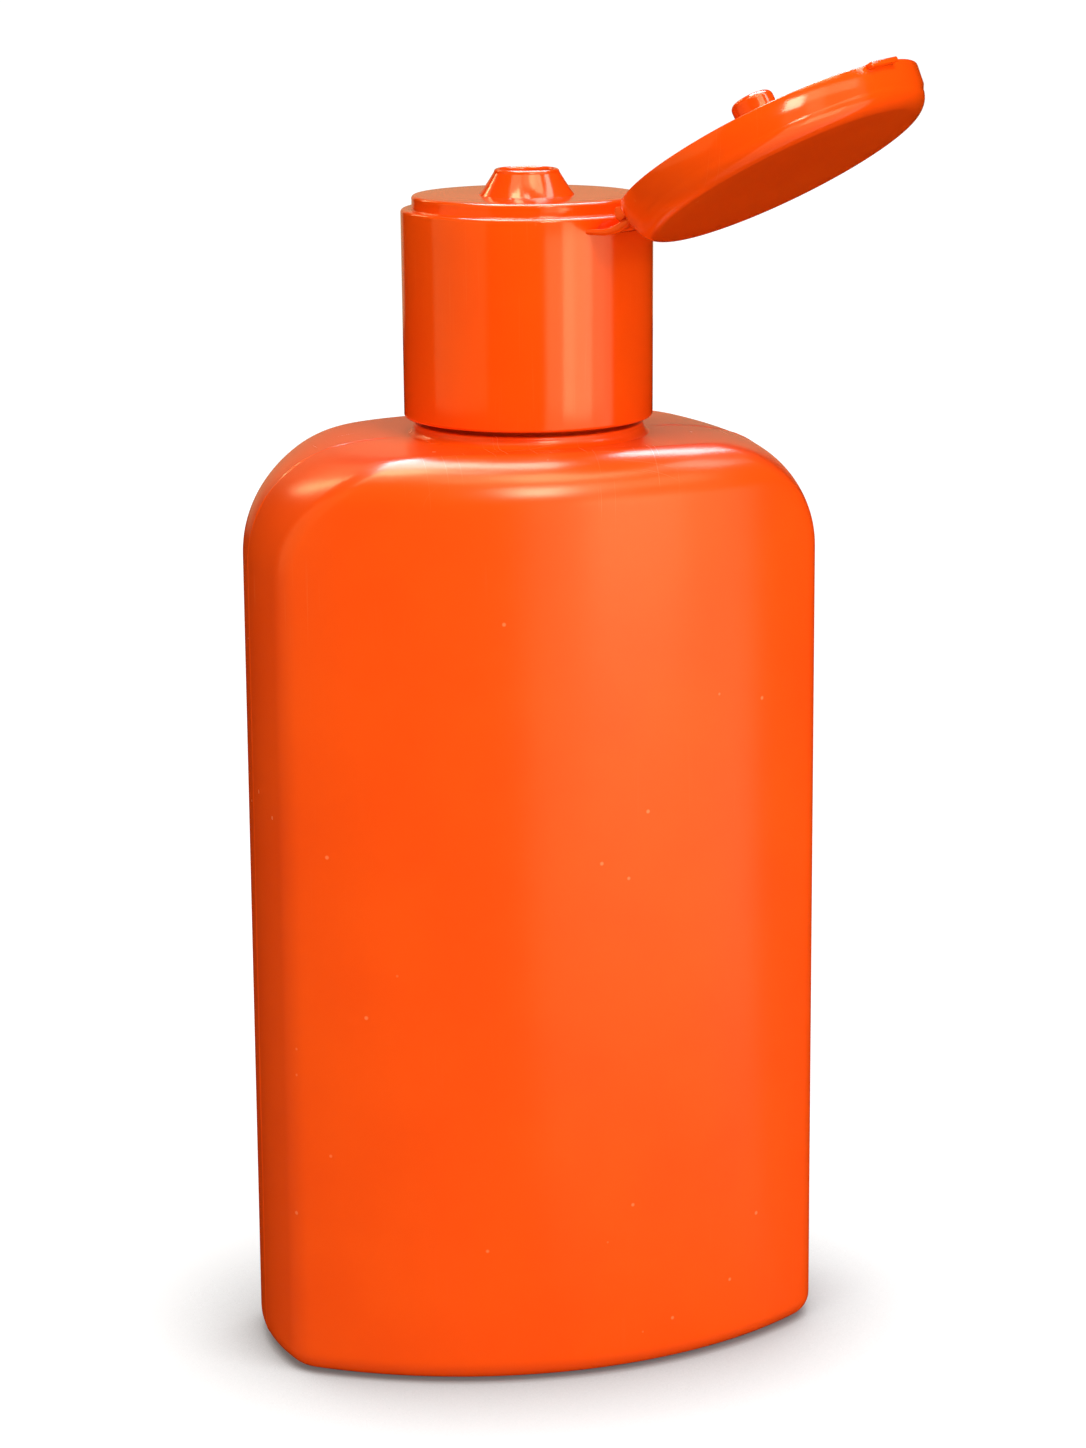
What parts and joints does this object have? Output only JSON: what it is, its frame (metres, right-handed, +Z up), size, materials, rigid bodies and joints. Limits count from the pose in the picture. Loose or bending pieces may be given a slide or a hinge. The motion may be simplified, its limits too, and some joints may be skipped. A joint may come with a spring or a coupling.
{
  "type": "oil bottle",
  "caption": "Oval squeeze bottle for oil with round shoulders, a screw cap with a short pouring spout and a hinged snap lid that rests open.",
  "frame": {"origin": "middle of the flat base, under the neck's axis", "axes": "+Z up the neck, X across the width, Y through the thickness with the front towards -Y"},
  "size_m": [0.07, 0.0608, 0.1488],
  "materials": {
    "body_plastic": "blown orange polythene, satin gloss with fine handling scratches",
    "cap_plastic": "moulded orange polypropylene, glossy"
  },
  "bodies": {
    "bottle": {"bottle": "body_plastic"},
    "cap": {"cap_base": "cap_plastic"},
    "lid": {"lid": "cap_plastic"}
  },
  "joints": [
    {"name": "cap_lift", "type": "slide", "parent": "bottle", "child": "cap", "axis": [0, 0, 1], "range_m": [0, 0.032]},
    {"name": "lid_hinge", "type": "hinge", "parent": "cap", "child": "lid", "pos_m": [0.011, -0.01243, 0.13152], "axis": [0.749, 0.6626, 0], "range_deg": [-150.4, 0]}
  ]
}
